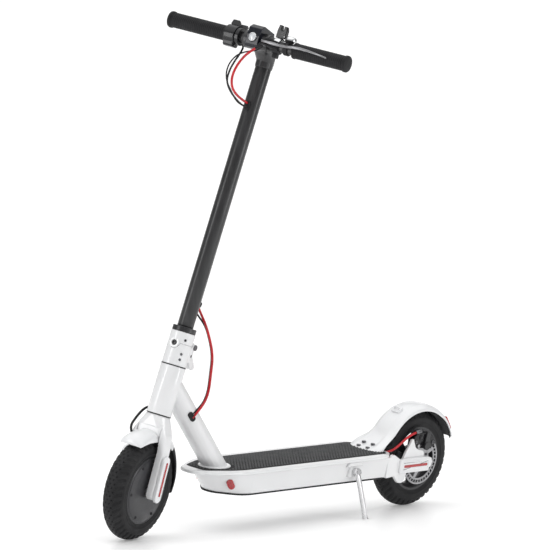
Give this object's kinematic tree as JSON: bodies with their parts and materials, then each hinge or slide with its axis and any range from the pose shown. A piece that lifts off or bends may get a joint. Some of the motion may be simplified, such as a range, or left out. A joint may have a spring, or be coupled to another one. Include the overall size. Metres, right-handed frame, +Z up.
{
  "type": "electric kick scooter",
  "caption": "Folding electric kick scooter on its side stand: round stem, flat deck, arched fenders, hub motor and rear disc brake.",
  "frame": {"origin": "on the ground, at the middle of the footprint of the scooter as it stands on its side stand", "axes": "+X to the left of the rider, -Y the way it rides, +Z up; the scooter leans to +X on its stand and its front wheel is turned to the left"},
  "size_m": [0.426, 1.0706, 1.0806],
  "materials": {
    "white_paint": "gloss",
    "white_plastic": "gloss",
    "stem_grey": "satin",
    "yoke_charcoal": "satin",
    "navy_plastic": "gloss",
    "button_plastic": "gloss",
    "grip_rubber": "matte",
    "mat_rubber": "matte",
    "tyre": "matte",
    "black_plastic": "matte",
    "gloss_black": "gloss",
    "black_metal": "satin",
    "bright_alloy": "polished",
    "steel": "brushed",
    "wheel_charcoal": "satin",
    "stator_iron": "matte",
    "kick_silver": "satin",
    "red_cable": "gloss",
    "black_cable": "satin",
    "fold_lever_white": "gloss",
    "red_lens": "gloss"
  },
  "bodies": {
    "frame": {"deck_shell": "white_paint", "deck_mat": "mat_rubber", "bottom_cover": "black_plastic", "frame_fasteners": "steel", "battery_pack": "black_plastic", "controller": "bright_alloy", "down_tube": "white_paint", "frame_grommets": "grip_rubber", "charge_port": "black_plastic", "reflectors": "red_lens", "rear_arms": "white_paint", "arm_covers": "white_plastic", "rear_fender": "white_plastic", "tail_light": "red_lens", "caliper_body": "black_metal", "rear_brake_cable": "red_cable", "rear_axle": "steel", "kick_pivot": "steel", "head_tube": "white_paint", "headset": "steel", "loop_cables_lower": "red_cable", "motor_cable": "black_cable"},
    "charge_flap": {"charge_flap": "grip_rubber"},
    "moving_pad": {"moving_pad": "black_plastic"},
    "caliper_arm": {"caliper_arm": "black_metal"},
    "kickstand": {"kick_leg": "kick_silver"},
    "rear_wheel": {"rear_rim": "wheel_charcoal", "rear_tyre": "tyre", "brake_disc": "steel"},
    "steering": {"fork": "white_paint", "fork_covers": "white_plastic", "front_fender": "white_plastic", "front_mudflap": "black_plastic", "front_axle": "steel", "motor_stator": "stator_iron", "fold_base": "white_paint", "fold_pins": "black_metal"},
    "fold_lever": {"fold_lever": "fold_lever_white"},
    "front_wheel": {"hub_shell": "wheel_charcoal", "motor_covers": "wheel_charcoal", "front_tyre": "tyre"},
    "stem": {"fold_block": "white_paint", "clamp_collar": "yoke_charcoal", "stem_tube": "stem_grey", "yoke": "yoke_charcoal", "handlebar": "stem_grey", "grips": "grip_rubber", "throttle_body": "gloss_black", "brake_clamp": "bright_alloy", "bell_body": "bright_alloy", "display_housing": "navy_plastic", "headlight": "bright_alloy", "stem_grommets": "grip_rubber", "upper_brake_cable": "red_cable", "black_cables": "black_cable", "loop_cables_upper": "red_cable"},
    "throttle_lever": {"throttle_lever": "gloss_black"},
    "brake_lever": {"brake_lever": "bright_alloy"},
    "bell_striker": {"bell_striker": "gloss_black"},
    "power_button": {"power_button": "button_plastic"}
  },
  "joints": [
    {"name": "steering", "type": "hinge", "parent": "frame", "child": "steering", "pos_m": [-0.11927, -0.43377, 0.10794], "axis": [0.1133, 0.2647, 0.9577], "range_deg": [-57, 33], "deforming": ["loop_cables_lower", "motor_cable", "loop_cables_upper"]},
    {"name": "stem_fold", "type": "hinge", "parent": "steering", "child": "stem", "pos_m": [-0.0922, -0.31966, 0.39691], "axis": [-0.9649, -0.2006, 0.1696], "range_deg": [0, 94], "deforming": ["loop_cables_upper"]},
    {"name": "fold_lever", "type": "hinge", "parent": "steering", "child": "fold_lever", "pos_m": [-0.09341, -0.32846, 0.37964], "axis": [0.9649, 0.2006, -0.1696], "range_deg": [0, 55]},
    {"name": "front_wheel_spin", "type": "hinge", "parent": "steering", "child": "front_wheel", "pos_m": [-0.12046, -0.42906, 0.10678], "axis": [0.9649, 0.2006, -0.1696], "continuous": true},
    {"name": "rear_wheel_spin", "type": "hinge", "parent": "frame", "child": "rear_wheel", "pos_m": [-0.11943, 0.41605, 0.10742], "axis": [0.9931, 0.0001, -0.1175], "continuous": true},
    {"name": "kickstand", "type": "hinge", "parent": "frame", "child": "kickstand", "pos_m": [-0.04349, 0.16105, 0.10222], "axis": [0.9958, 0.0157, 0.0899], "range_deg": [0, 68.6]},
    {"name": "throttle", "type": "hinge", "parent": "stem", "child": "throttle_lever", "pos_m": [0, -0.23003, 1.02744], "axis": [-0.9649, -0.2006, 0.1696], "range_deg": [0, 25], "stiffness_Nm_per_rad": 0.2, "springref_deg": -17.19},
    {"name": "brake_lever", "type": "hinge", "parent": "stem", "child": "brake_lever", "pos_m": [0.04039, -0.2534, 1.02911], "axis": [0.1133, 0.2647, 0.9577], "range_deg": [0, 8], "stiffness_Nm_per_rad": 2, "springref_deg": -11.46},
    {"name": "caliper_arm", "type": "hinge", "parent": "frame", "child": "caliper_arm", "pos_m": [-0.11543, 0.41702, 0.14118], "axis": [0.9931, 0.0001, -0.1175], "range_deg": [0, 16]},
    {"name": "moving_pad", "type": "slide", "parent": "frame", "child": "moving_pad", "axis": [-0.9931, -0.0001, 0.1175], "range_m": [0, 0.0004]},
    {"name": "bell_striker", "type": "hinge", "parent": "stem", "child": "bell_striker", "pos_m": [0.05807, -0.21266, 1.03874], "axis": [-0.237, 0.9432, -0.2326], "range_deg": [0, 12], "stiffness_Nm_per_rad": 0.1, "springref_deg": -8.59},
    {"name": "power_button", "type": "slide", "parent": "stem", "child": "power_button", "axis": [-0.1133, -0.2647, -0.9577], "range_m": [0, 0.001], "stiffness_N_per_m": 500, "springref_m": -0.001},
    {"name": "charge_flap", "type": "hinge", "parent": "frame", "child": "charge_flap", "pos_m": [-0.18645, -0.12897, 0.13196], "axis": [0, 1, 0.0009], "range_deg": [0, 90]}
  ],
  "couplings": [
    {"joint": "caliper_arm", "follows": "brake_lever", "ratio": 2},
    {"joint": "moving_pad", "follows": "brake_lever", "m_per_rad": 0.0028}
  ]
}
